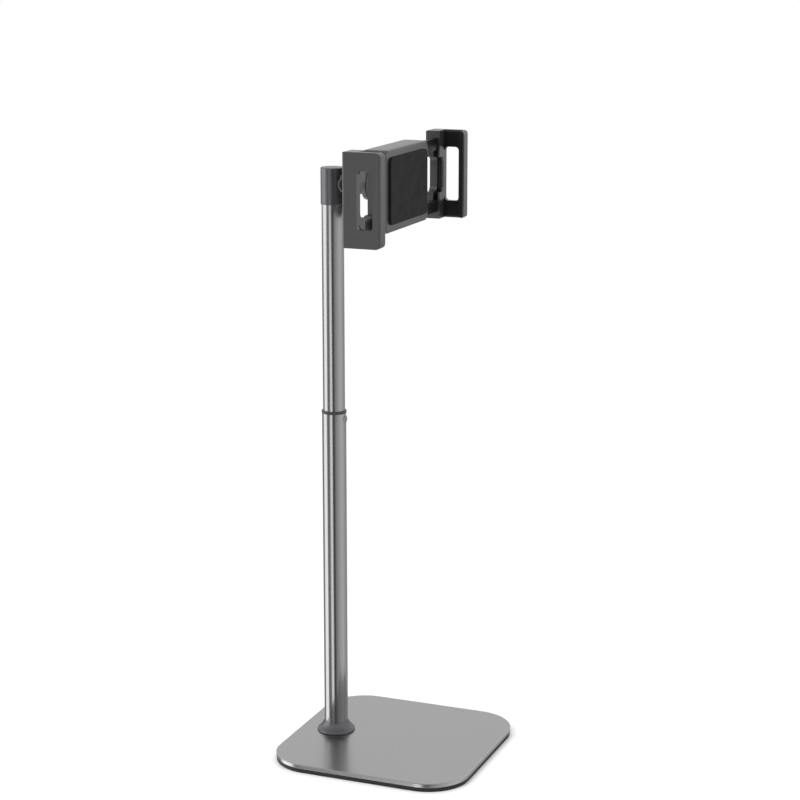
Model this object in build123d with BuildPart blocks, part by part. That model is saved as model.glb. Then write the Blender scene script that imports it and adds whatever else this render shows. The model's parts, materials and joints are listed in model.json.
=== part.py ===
from build123d import *
import math
import os

os.makedirs("parts", exist_ok=True)

# An adjustable stand: a flat base, a two-part telescopic pole, a tilting and turning head, and a
# holder whose two jaws close together on a rack and pinion.
# The frame: origin at the centre of the base's underside, +X to the front, +Z up, millimetres.

# Clearances shared by the whole stand
seat_gap = 0.02      # round parts that are pressed or glued together
run_gap = 0.05       # a shaft that turns or slides in its bore
slide_gap = 0.2      # flat sliders in their channels
pocket_gap = 0.3     # parts that are dropped into a pocket

# Base
base_side = 166.0
base_corner = 35.0
plate_thick = 3.3
plate_bevel = 0.5
pad_thick = 3.5
pad_inset = 0.4
pole_from_edge = 29.7  # pole axis in front of the rear edge of the base

# Fastening of the pole to the base
foot_bolt_r = 4.0
foot_head_r = 6.5
foot_head_high = 2.4
foot_hex_flats = 5.0
foot_hex_deep = 1.4
foot_washer_r = 7.6
foot_washer_thick = 0.6
foot_hole_gap = 0.2
foot_recess_gap = 1.4
plug_high = 22.0
plug_tip_free = 3.0

# Foot flange, a trumpet shape around the bottom of the pole
flange_rim_r = 15.8
flange_rim_high = 1.2
flange_lip = 0.3
flange_high = 8.4
flange_waist_r = 11.4   # where the flare turns from its lower band to the steeper upper one
flange_waist_high = 5.2

# Pole
lower_r = 9.85
lower_wall = 0.5
lower_len = 273.8
upper_r = 8.95
upper_wall = 0.6
upper_len = 241.0
tube_lap = 44.6      # how much of the upper tube is inside the lower one in this pose
raise_travel = 20.0  # from this pose up to the stop
lower_travel = 165.0

# Bush at the top of the lower tube, whose rim shows as a ring
rim_proud = 0.3
rim_high = 2.3
rivet_drop = 4.9
rivet_head_r = 3.1
rivet_head_proud = 0.5
rivet_shank_r = 1.5

# Sleeve that guides the bottom end of the upper tube
sleeve_high = 16.0
sleeve_run_gap = 0.06
spigot_high = 8.0
tube_plug_high = 12.0
tube_plug_gap = 0.4
guide_screw_r = 2.0
guide_head_r = 3.6
guide_head_high = 2.4
guide_washer_r = 4.8
guide_washer_thick = 0.8

# Cap of the pole with the tongue of the tilt hinge
cap_proud = 0.6      # radius past the upper tube
cap_len = 29.4
cap_roof = 3.4
cap_bevel = 0.5
tongue_half = 4.5
hinge_reach = 15.2   # tilt axis in front of the pole axis
hinge_drop = 12.4    # tilt axis below the top of the cap
ear_r = 6.6
ear_thick = 4.8
hinge_bolt_r = 2.5
hinge_head_r = 4.6
hinge_head_high = 1.8
hinge_washer_thick = 0.3
hinge_nut_flats = 8.0
hinge_nut_high = 3.6
hex_key_flats = 3.0
hex_key_deep = 1.1
small_key_flats = 2.0
small_key_deep = 0.9

# Arm from the tilt hinge to the turning disc
disc_reach = 14.2    # back of the disc in front of the tilt axis
disc_r = 12.0
disc_thick = 3.6
disc_bevel = 0.5
friction_thick = 1.0
friction_inset = 0.4
swivel_bolt_r = 2.0
swivel_nut_flats = 7.0
swivel_nut_high = 3.2
swivel_washer_r = 4.3
swivel_washer_thick = 0.8
swivel_tip = 1.0
swivel_head_flats = 7.0
swivel_head_high = 2.8

# Holder housing
boss_len = 12.0
boss_flare = 4.5
floor_thick = 4.8
arm_thick = 4.0
cover_thick = 4.4
front_pad_proud = 2.0
front_pad_sunk = 1.0
front_pad_margin = 6.0
front_pad_bevel = 0.8
housing_half = 45.0
housing_mid_half = 38.0
housing_half_high = 32.0
housing_corner = 5.0
housing_bevel = 1.4
rail_band = 13.5     # height of each of the two rails
rail_step = 1.7      # how far the rails stand behind the middle
end_wall = 1.7
rail_wall = 1.7
shell_screw_y = 31.0
shell_screw_r = 1.5
shell_post_r = 3.2
shell_head_r = 2.8
shell_head_high = 1.6
shell_head_sunk = 2.0
shell_screw_bite = 3.2

# Jaws
jaw_opening = 178.5  # between the two side pads in this pose
jaw_pad_thick = 1.9
jaw_wall = 4.0
jaw_high = 72.0
jaw_behind = 1.8     # back of the jaw behind the channel floor's face
flange_deep = 12.0   # thickness of the part behind the clamped edge
flange_reach = 16.2  # how far it comes in from the jaw's outer face
jaw_deep = 31.0
lip_thick = 3.0
lip_reach = 9.9
lip_face = 1.2       # plastic left in front of the lining round the lip's tip
lip_pad_thick = 1.6
lip_tip_pad = 1.2
jaw_front_corner = 4.0
jaw_rear_corner = 1.5
jaw_front_round = 2.0
jaw_rear_round = 0.8
jaw_tip_round = 0.6
slot_high = 44.4
slot_wide = 12.7
slot_corner = 3.0
window_high = 28.8
window_corner = 4.5
window_skin = 1.0
jaw_pad_margin = 1.5
jaw_screw_in = 10.6  # from the jaw's outer face
jaw_screw_r = 1.5
jaw_screw_head_r = 2.7
jaw_screw_head_high = 1.1
jaw_screw_len = 9.6

# Sliding arms with their racks, and the pinion between them
prong_high = 9.5
arm_bridge = 4.0
arm_skin = 2.1       # jaw wall left outside the end of the arm
gear_module = 1.0
pinion_teeth = 16
pressure_angle = 20.0
addendum = 0.8
dedendum = 1.05
backlash = 0.16
pinion_post_r = 2.95
close_travel = 27.0
open_travel = 6.0
rack_margin = 3.0
tab_thick = 3.0
tab_in = 11.0        # inner end of the spring tab, from the middle line
spring_r = 1.9
spring_bore_r = 1.3
spring_off = 14.5    # spring axis from the middle line
spring_end_gap = 0.2

# Heights and places that follow from the sizes above
pole_x = pole_from_edge - base_side / 2
plate_top = pad_thick + plate_thick
lower_top = plate_top + lower_len
upper_bottom = lower_top - tube_lap
upper_top = upper_bottom + upper_len
lower_bore_r = lower_r - lower_wall
upper_bore_r = upper_r - upper_wall
bush_bottom = upper_bottom + raise_travel
cap_top = upper_top + cap_roof
cap_bottom = cap_top - cap_len
cap_r = upper_r + cap_proud
hinge_x = pole_x + hinge_reach
head_z = cap_top - hinge_drop
disc_x = hinge_x + disc_reach
friction_x = disc_x + disc_thick
boss_x = friction_x + friction_thick
mid_x = boss_x + boss_len
rail_x = mid_x - rail_step
channel_x = mid_x + floor_thick
layer_pitch = arm_thick + 2 * slide_gap
near_layer = channel_x + slide_gap
far_layer = near_layer + layer_pitch
cover_x = channel_x + 2 * layer_pitch
front_x = cover_x + cover_thick
jaw_rear_x = channel_x - jaw_behind
flange_x = jaw_rear_x + flange_deep
jaw_front_x = jaw_rear_x + jaw_deep
jaw_in = jaw_opening / 2
wall_in = jaw_in + jaw_pad_thick
jaw_out = wall_in + jaw_wall
flange_in = jaw_out - flange_reach
lip_in = jaw_out - lip_reach
lip_back = jaw_front_x - lip_thick
rail_out = housing_half_high - rail_wall
prong_out = rail_out - pocket_gap
prong_in = prong_out - prong_high
rail_in = housing_half_high - rail_band
arm_out = jaw_out - arm_skin
arm_bridge_in = arm_out - arm_bridge
pocket_half = housing_mid_half - end_wall
pitch_r = gear_module * pinion_teeth / 2
rack_in = pocket_half - pocket_gap - close_travel
rack_out = close_travel + rack_margin
rack_root = pitch_r + dedendum * gear_module
rack_tip = pitch_r - addendum * gear_module
tab_y = rack_in - rack_margin - tab_thick


# Foot of the pole

with BuildPart() as base_pad:
    with BuildSketch(Plane.XY):
        RectangleRounded(base_side - 2 * pad_inset, base_side - 2 * pad_inset, base_corner - pad_inset)
        with Locations((pole_x, 0)):
            Circle(foot_washer_r + foot_recess_gap, mode=Mode.SUBTRACT)
    extrude(amount=pad_thick)
base_pad.part.label = "base_pad"
export_step(base_pad.part, "parts/base_pad.step")

with BuildPart() as base_plate:
    with BuildSketch(Plane.XY.offset(pad_thick)):
        RectangleRounded(base_side, base_side, base_corner)
    extrude(amount=plate_thick)
    chamfer(base_plate.faces().sort_by(Axis.Z)[-1].edges(), length=plate_bevel)
    with BuildSketch(Plane.XY.offset(pad_thick)):
        with Locations((pole_x, 0)):
            Circle(foot_bolt_r + foot_hole_gap)
    extrude(amount=plate_thick, mode=Mode.SUBTRACT)
base_plate.part.label = "base_plate"
export_step(base_plate.part, "parts/base_plate.step")

with BuildPart() as foot_washer:
    with BuildSketch(Plane.XY.offset(pad_thick - foot_washer_thick)):
        with Locations((pole_x, 0)):
            Circle(foot_washer_r)
            Circle(foot_bolt_r + foot_hole_gap, mode=Mode.SUBTRACT)
    extrude(amount=foot_washer_thick)
foot_washer.part.label = "foot_washer"
export_step(foot_washer.part, "parts/foot_washer.step")

foot_head_bottom = pad_thick - foot_washer_thick - foot_head_high
with BuildPart() as foot_bolt:
    with BuildSketch(Plane.XY.offset(foot_head_bottom)):
        with Locations((pole_x, 0)):
            Circle(foot_head_r)
    extrude(amount=foot_head_high)
    with BuildSketch(Plane.XY.offset(foot_head_bottom)):
        with Locations((pole_x, 0)):
            RegularPolygon(foot_hex_flats / 2, 6, major_radius=False)
    extrude(amount=foot_hex_deep, mode=Mode.SUBTRACT)
    with BuildSketch(Plane.XY.offset(pad_thick - foot_washer_thick)):
        with Locations((pole_x, 0)):
            Circle(foot_bolt_r)
    extrude(amount=foot_washer_thick + plate_thick + plug_high - plug_tip_free)
foot_bolt.part.label = "foot_bolt"
export_step(foot_bolt.part, "parts/foot_bolt.step")

with BuildPart() as foot_plug:
    with BuildSketch(Plane.XY.offset(plate_top)):
        with Locations((pole_x, 0)):
            Circle(lower_bore_r - seat_gap)
            Circle(foot_bolt_r + seat_gap, mode=Mode.SUBTRACT)
    extrude(amount=plug_high)
foot_plug.part.label = "foot_plug"
export_step(foot_plug.part, "parts/foot_plug.step")

flange_bore_r = lower_r + seat_gap
flange_neck_r = lower_r + flange_lip
flange_plane = Plane(origin=(pole_x, 0, plate_top), x_dir=(1, 0, 0), z_dir=(0, -1, 0))
with BuildPart() as foot_flange:
    with BuildSketch(flange_plane):
        with BuildLine():
            Polyline(
                (flange_neck_r, flange_high),
                (flange_bore_r, flange_high),
                (flange_bore_r, 0),
                (flange_rim_r, 0),
                (flange_rim_r, flange_rim_high),
                (flange_waist_r, flange_waist_high),
                close=True,
            )
        make_face()
    revolve(axis=Axis((pole_x, 0, 0), (0, 0, 1)))
foot_flange.part.label = "foot_flange"
export_step(foot_flange.part, "parts/foot_flange.step")


# Telescopic pole

rivet_z = lower_top - rivet_drop
rivet_plane = Plane(origin=(pole_x, 0, rivet_z), x_dir=(0, 1, 0), z_dir=(1, 0, 0))

with BuildPart() as lower_tube:
    with BuildSketch(Plane.XY.offset(plate_top)):
        with Locations((pole_x, 0)):
            Circle(lower_r)
            Circle(lower_bore_r, mode=Mode.SUBTRACT)
    extrude(amount=lower_len)
    with BuildSketch(rivet_plane):
        Circle(rivet_shank_r + run_gap)
    extrude(amount=lower_r + lower_wall, mode=Mode.SUBTRACT)
lower_tube.part.label = "lower_tube"
export_step(lower_tube.part, "parts/lower_tube.step")

with BuildPart() as collar_bush:
    with BuildSketch(Plane.XY.offset(bush_bottom)):
        with Locations((pole_x, 0)):
            Circle(lower_bore_r - seat_gap)
            Circle(upper_r + run_gap, mode=Mode.SUBTRACT)
    extrude(amount=lower_top - bush_bottom)
    with BuildSketch(Plane.XY.offset(lower_top)):
        with Locations((pole_x, 0)):
            Circle(lower_r + rim_proud)
            Circle(upper_r + run_gap, mode=Mode.SUBTRACT)
    extrude(amount=rim_high)
    with BuildSketch(rivet_plane):
        Circle(rivet_shank_r + run_gap)
    extrude(amount=lower_r, mode=Mode.SUBTRACT)
collar_bush.part.label = "collar_bush"
export_step(collar_bush.part, "parts/collar_bush.step")

with BuildPart() as collar_rivet:
    with BuildSketch(rivet_plane):
        Circle(rivet_head_r)
    extrude(amount=lower_r + rivet_head_proud)
    with BuildSketch(Plane.XY.offset(rivet_z - rivet_head_r - rivet_shank_r)):
        with Locations((pole_x, 0)):
            Circle(lower_r)
    extrude(amount=2 * (rivet_head_r + rivet_shank_r), mode=Mode.SUBTRACT)
    with BuildSketch(rivet_plane.offset(upper_r + 2 * run_gap)):
        Circle(rivet_shank_r)
    extrude(amount=lower_r - upper_r)
collar_rivet.part.label = "collar_rivet"
export_step(collar_rivet.part, "parts/collar_rivet.step")

with BuildPart() as guide_sleeve:
    with BuildSketch(Plane.XY.offset(upper_bottom - sleeve_high)):
        with Locations((pole_x, 0)):
            Circle(lower_bore_r - sleeve_run_gap)
    extrude(amount=sleeve_high)
    with BuildSketch(Plane.XY.offset(upper_bottom)):
        with Locations((pole_x, 0)):
            Circle(upper_bore_r - run_gap)
    extrude(amount=spigot_high)
    with BuildSketch(Plane.XY.offset(upper_bottom - sleeve_high)):
        with Locations((pole_x, 0)):
            Circle(guide_screw_r + run_gap)
    extrude(amount=sleeve_high + spigot_high, mode=Mode.SUBTRACT)
guide_sleeve.part.label = "guide_sleeve"
export_step(guide_sleeve.part, "parts/guide_sleeve.step")

with BuildPart() as guide_washer:
    with BuildSketch(Plane.XY.offset(upper_bottom - sleeve_high - guide_washer_thick)):
        with Locations((pole_x, 0)):
            Circle(guide_washer_r)
            Circle(guide_screw_r + run_gap, mode=Mode.SUBTRACT)
    extrude(amount=guide_washer_thick)
guide_washer.part.label = "guide_washer"
export_step(guide_washer.part, "parts/guide_washer.step")

tube_plug_bottom = upper_bottom + spigot_high + tube_plug_gap
head_seat = upper_bottom - sleeve_high - guide_washer_thick
with BuildPart() as guide_screw:
    with BuildSketch(Plane.XY.offset(head_seat - guide_head_high)):
        with Locations((pole_x, 0)):
            Circle(guide_head_r)
    extrude(amount=guide_head_high)
    with BuildSketch(Plane.XY.offset(head_seat)):
        with Locations((pole_x, 0)):
            Circle(guide_screw_r)
    extrude(amount=tube_plug_bottom + tube_plug_high - head_seat)
    with BuildSketch(Plane.XY.offset(head_seat - guide_head_high)):
        with Locations((pole_x, 0)):
            RegularPolygon(hex_key_flats / 2, 6, major_radius=False)
    extrude(amount=hex_key_deep, mode=Mode.SUBTRACT)
guide_screw.part.label = "guide_screw"
export_step(guide_screw.part, "parts/guide_screw.step")

with BuildPart() as tube_plug:
    with BuildSketch(Plane.XY.offset(tube_plug_bottom)):
        with Locations((pole_x, 0)):
            Circle(upper_bore_r - seat_gap)
            Circle(guide_screw_r + seat_gap, mode=Mode.SUBTRACT)
    extrude(amount=tube_plug_high)
tube_plug.part.label = "tube_plug"
export_step(tube_plug.part, "parts/tube_plug.step")

with BuildPart() as upper_tube:
    with BuildSketch(Plane.XY.offset(upper_bottom)):
        with Locations((pole_x, 0)):
            Circle(upper_r)
            Circle(upper_bore_r, mode=Mode.SUBTRACT)
    extrude(amount=upper_len)
upper_tube.part.label = "upper_tube"
export_step(upper_tube.part, "parts/upper_tube.step")


# Tilting head

hinge_plane = Plane(origin=(hinge_x, 0, head_z), x_dir=(1, 0, 0), z_dir=(0, -1, 0))

with BuildPart() as head_cap:
    with BuildSketch(Plane.XY.offset(cap_bottom)):
        with Locations((pole_x, 0)):
            Circle(cap_r)
    extrude(amount=cap_len)
    chamfer(head_cap.edges().group_by(Axis.Z)[-1], length=cap_bevel)
    with BuildSketch(hinge_plane):
        Circle(ear_r)
        with Locations((-hinge_reach / 2, 0)):
            Rectangle(hinge_reach, 2 * ear_r)
    extrude(amount=tongue_half, both=True)
    with BuildSketch(Plane.XY.offset(cap_bottom)):
        with Locations((pole_x, 0)):
            Circle(upper_r + seat_gap)
    extrude(amount=upper_top - cap_bottom, mode=Mode.SUBTRACT)
    with BuildSketch(hinge_plane):
        Circle(hinge_bolt_r + run_gap)
    extrude(amount=tongue_half, both=True, mode=Mode.SUBTRACT)
head_cap.part.label = "head_cap"
export_step(head_cap.part, "parts/head_cap.step")

ear_in = tongue_half + hinge_washer_thick
ear_out = ear_in + ear_thick

with BuildPart() as hinge_washers:
    with BuildSketch(hinge_plane.offset(tongue_half), hinge_plane.offset(-ear_in)):
        Circle(ear_r - friction_inset)
        Circle(hinge_bolt_r + run_gap, mode=Mode.SUBTRACT)
    extrude(amount=hinge_washer_thick)
hinge_washers.part.label = "hinge_washers"
export_step(hinge_washers.part, "parts/hinge_washers.step")

turn_plane = Plane(origin=(0, 0, head_z), x_dir=(0, 1, 0), z_dir=(1, 0, 0))

with BuildPart() as tilt_arm:
    with BuildSketch(turn_plane.offset(disc_x)):
        Circle(disc_r)
    extrude(amount=disc_thick)
    chamfer(tilt_arm.edges().group_by(Axis.X)[0], length=disc_bevel)
    with BuildSketch(hinge_plane.offset(ear_in), hinge_plane.offset(-ear_out)):
        Circle(ear_r)
        with Locations((disc_reach / 2 + disc_bevel, 0)):
            Rectangle(disc_reach + 2 * disc_bevel, 2 * ear_r)
    extrude(amount=ear_thick)
    with BuildSketch(turn_plane.offset(disc_x)):
        Circle(swivel_bolt_r + run_gap)
    extrude(amount=disc_thick, mode=Mode.SUBTRACT)
    with BuildSketch(hinge_plane):
        Circle(hinge_bolt_r + seat_gap)
    extrude(amount=ear_out, both=True, mode=Mode.SUBTRACT)
tilt_arm.part.label = "tilt_arm"
export_step(tilt_arm.part, "parts/tilt_arm.step")

with BuildPart() as hinge_bolt:
    with BuildSketch(hinge_plane.offset(ear_out)):
        Circle(hinge_head_r)
    extrude(amount=hinge_head_high)
    with BuildSketch(hinge_plane.offset(ear_out + hinge_head_high - hex_key_deep)):
        RegularPolygon(hex_key_flats / 2, 6, major_radius=False)
    extrude(amount=hex_key_deep, mode=Mode.SUBTRACT)
    with BuildSketch(hinge_plane.offset(-ear_out - hinge_nut_high)):
        Circle(hinge_bolt_r)
    extrude(amount=2 * ear_out + hinge_nut_high)
hinge_bolt.part.label = "hinge_bolt"
export_step(hinge_bolt.part, "parts/hinge_bolt.step")

with BuildPart() as hinge_nut:
    with BuildSketch(hinge_plane.offset(-ear_out - hinge_nut_high)):
        RegularPolygon(hinge_nut_flats / 2, 6, major_radius=False)
        Circle(hinge_bolt_r + seat_gap, mode=Mode.SUBTRACT)
    extrude(amount=hinge_nut_high)
hinge_nut.part.label = "hinge_nut"
export_step(hinge_nut.part, "parts/hinge_nut.step")


# Turning joint between the arm and the holder

with BuildPart() as friction_disc:
    with BuildSketch(turn_plane.offset(friction_x)):
        Circle(disc_r - friction_inset)
        Circle(swivel_bolt_r + run_gap, mode=Mode.SUBTRACT)
    extrude(amount=friction_thick)
friction_disc.part.label = "friction_disc"
export_step(friction_disc.part, "parts/friction_disc.step")

with BuildPart() as swivel_washer:
    with BuildSketch(turn_plane.offset(disc_x - swivel_washer_thick)):
        Circle(swivel_washer_r)
        Circle(swivel_bolt_r + seat_gap, mode=Mode.SUBTRACT)
    extrude(amount=swivel_washer_thick)
swivel_washer.part.label = "swivel_washer"
export_step(swivel_washer.part, "parts/swivel_washer.step")

swivel_nut_x = disc_x - swivel_washer_thick - swivel_nut_high
with BuildPart() as swivel_nut:
    with BuildSketch(turn_plane.offset(swivel_nut_x)):
        RegularPolygon(swivel_nut_flats / 2, 6, major_radius=False)
        Circle(swivel_bolt_r + seat_gap, mode=Mode.SUBTRACT)
    extrude(amount=swivel_nut_high)
swivel_nut.part.label = "swivel_nut"
export_step(swivel_nut.part, "parts/swivel_nut.step")

swivel_head_x = channel_x - swivel_head_high
with BuildPart() as swivel_bolt:
    with BuildSketch(turn_plane.offset(swivel_head_x)):
        RegularPolygon(swivel_head_flats / 2, 6, major_radius=False)
    extrude(amount=swivel_head_high)
    with BuildSketch(turn_plane.offset(swivel_nut_x - swivel_tip)):
        Circle(swivel_bolt_r)
    extrude(amount=swivel_head_x - swivel_nut_x + swivel_tip)
swivel_bolt.part.label = "swivel_bolt"
export_step(swivel_bolt.part, "parts/swivel_bolt.step")


# Holder housing

rail_mid = (housing_half_high + rail_in) / 2

with BuildPart() as rear_shell:
    with BuildSketch(turn_plane.offset(mid_x)):
        Rectangle(2 * housing_mid_half, 2 * rail_in + 2 * rail_wall)
    extrude(amount=cover_x - mid_x)
    with BuildSketch(turn_plane.offset(rail_x)):
        with Locations((0, rail_mid), (0, -rail_mid)):
            RectangleRounded(2 * housing_half, rail_band, housing_corner)
    extrude(amount=cover_x - rail_x)
    chamfer(rear_shell.faces().filter_by(Axis.X).group_by(Axis.X)[0].edges(), length=housing_bevel)
    with BuildSketch(Plane.XZ):
        with BuildLine():
            Polyline((boss_x, head_z), (boss_x, head_z + disc_r), (mid_x - boss_flare, head_z + disc_r))
            Line((mid_x - boss_flare, head_z + disc_r), (mid_x, head_z + disc_r + boss_flare))
            Line((mid_x, head_z + disc_r + boss_flare), (mid_x, head_z))
            Line((mid_x, head_z), (boss_x, head_z))
        make_face()
    revolve(axis=Axis((0, 0, head_z), (1, 0, 0)))
    # two layers of channels, one for each arm
    for layer, turn in ((0, -1), (1, 1)):
        with BuildSketch(turn_plane.offset(channel_x + layer * layer_pitch)):
            Rectangle(2 * pocket_half, 2 * rail_out)
            with Locations((turn * housing_half / 2, 0)):
                Rectangle(housing_half, 2 * rail_out)
            with Locations((turn * (housing_half + pocket_half) / 2, 0)):
                Rectangle(housing_half - pocket_half, 2 * (prong_in - pocket_gap), mode=Mode.SUBTRACT)
        extrude(amount=layer_pitch, mode=Mode.SUBTRACT)
    with BuildSketch(turn_plane.offset(channel_x)):
        with Locations((shell_screw_y, 0), (-shell_screw_y, 0)):
            Circle(shell_post_r)
    extrude(amount=cover_x - channel_x)
    with BuildSketch(turn_plane.offset(mid_x)):
        with Locations((shell_screw_y, 0), (-shell_screw_y, 0)):
            Circle(shell_screw_r + run_gap)
    extrude(amount=cover_x - mid_x, mode=Mode.SUBTRACT)
    with BuildSketch(turn_plane.offset(mid_x)):
        with Locations((shell_screw_y, 0), (-shell_screw_y, 0)):
            Circle(shell_head_r + slide_gap)
    extrude(amount=shell_head_sunk, mode=Mode.SUBTRACT)
    with BuildSketch(turn_plane.offset(boss_x)):
        Circle(swivel_bolt_r + seat_gap)
    extrude(amount=channel_x - boss_x, mode=Mode.SUBTRACT)
    with BuildSketch(turn_plane.offset(swivel_head_x)):
        RegularPolygon(swivel_head_flats / 2 + seat_gap, 6, major_radius=False)
    extrude(amount=swivel_head_high, mode=Mode.SUBTRACT)
rear_shell.part.label = "rear_shell"
export_step(rear_shell.part, "parts/rear_shell.step")

with BuildPart() as front_shell:
    with BuildSketch(turn_plane.offset(cover_x)):
        RectangleRounded(2 * housing_half, 2 * housing_half_high, housing_corner)
    extrude(amount=cover_thick)
    chamfer(front_shell.faces().sort_by(Axis.X)[-1].edges(), length=housing_bevel)
    with BuildSketch(turn_plane.offset(front_x - front_pad_sunk)):
        RectangleRounded(
            2 * (housing_half - front_pad_margin), 2 * (housing_half_high - front_pad_margin), housing_corner
        )
    extrude(amount=front_pad_sunk, mode=Mode.SUBTRACT)
    with BuildSketch(turn_plane.offset(channel_x + slide_gap)):
        Circle(pinion_post_r)
    extrude(amount=cover_x - channel_x - slide_gap)
    with BuildSketch(turn_plane.offset(cover_x)):
        with Locations((shell_screw_y, 0), (-shell_screw_y, 0)):
            Circle(shell_screw_r + seat_gap)
    extrude(amount=shell_screw_bite, mode=Mode.SUBTRACT)
front_shell.part.label = "front_shell"
export_step(front_shell.part, "parts/front_shell.step")

with BuildPart() as front_pad:
    with BuildSketch(turn_plane.offset(front_x - front_pad_sunk)):
        RectangleRounded(
            2 * (housing_half - front_pad_margin - seat_gap),
            2 * (housing_half_high - front_pad_margin - seat_gap),
            housing_corner,
        )
    extrude(amount=front_pad_sunk + front_pad_proud)
    chamfer(front_pad.faces().sort_by(Axis.X)[-1].edges(), length=front_pad_bevel)
front_pad.part.label = "front_pad"
export_step(front_pad.part, "parts/front_pad.step")

shell_seat_x = mid_x + shell_head_sunk
with BuildPart() as shell_screws:
    with BuildSketch(turn_plane.offset(shell_seat_x - shell_head_high)):
        with Locations((shell_screw_y, 0), (-shell_screw_y, 0)):
            Circle(shell_head_r)
    extrude(amount=shell_head_high)
    with BuildSketch(turn_plane.offset(shell_seat_x)):
        with Locations((shell_screw_y, 0), (-shell_screw_y, 0)):
            Circle(shell_screw_r)
    extrude(amount=cover_x + shell_screw_bite - shell_seat_x - slide_gap)
    with BuildSketch(turn_plane.offset(shell_seat_x - shell_head_high)):
        with Locations((shell_screw_y, 0), (-shell_screw_y, 0)):
            RegularPolygon(small_key_flats / 2, 6, major_radius=False)
    extrude(amount=small_key_deep, mode=Mode.SUBTRACT)
shell_screws.part.label = "shell_screws"
export_step(shell_screws.part, "parts/shell_screws.step")


# Pinion with involute teeth

base_r = pitch_r * math.cos(math.radians(pressure_angle))
tip_r = pitch_r + addendum * gear_module
root_r = pitch_r - dedendum * gear_module
pitch_half_angle = (math.pi / 2 * gear_module - backlash) / (2 * pitch_r)


def involute(angle):
    return math.tan(angle) - angle


def flank_point(radius, side):
    """A point of a tooth's flank, for a tooth that points along the sketch's own X."""
    turn = pitch_half_angle + involute(math.radians(pressure_angle)) - involute(math.acos(base_r / radius))
    return (radius * math.cos(turn), side * radius * math.sin(turn))


mid_r = (base_r + tip_r) / 2
foot_turn = pitch_half_angle + involute(math.radians(pressure_angle))
tooth_foot = [(root_r * math.cos(foot_turn), side * root_r * math.sin(foot_turn)) for side in (-1, 1)]

with BuildPart() as pinion:
    with BuildSketch(turn_plane.offset(near_layer)):
        Circle(root_r)
        # half a pitch off the vertical, so that a gap faces the rack above and the rack below
        with PolarLocations(0, pinion_teeth, start_angle=90 + 180 / pinion_teeth):
            with BuildLine(mode=Mode.PRIVATE) as tooth:
                Polyline((0, 0), tooth_foot[0], flank_point(base_r, -1))
                ThreePointArc(flank_point(base_r, -1), flank_point(mid_r, -1), flank_point(tip_r, -1))
                ThreePointArc(flank_point(tip_r, -1), (tip_r, 0), flank_point(tip_r, 1))
                ThreePointArc(flank_point(tip_r, 1), flank_point(mid_r, 1), flank_point(base_r, 1))
                Polyline(flank_point(base_r, 1), tooth_foot[1], (0, 0))
            add(make_face(tooth.line.edges(), mode=Mode.PRIVATE))
        Circle(pinion_post_r + run_gap, mode=Mode.SUBTRACT)
    extrude(amount=far_layer + arm_thick - near_layer)
pinion.part.label = "pinion"
export_step(pinion.part, "parts/pinion.step")


# Jaws, their pads, the arms with the racks, springs and screws, first the near side and then the far one

jaw_screw_y = jaw_out - jaw_screw_in
jaw_screw_z = (prong_in + prong_out) / 2
tooth_half = (math.pi / 2 * gear_module - backlash) / 2
flank_slope = math.tan(math.radians(pressure_angle))
tooth_pitch = math.pi * gear_module

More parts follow.
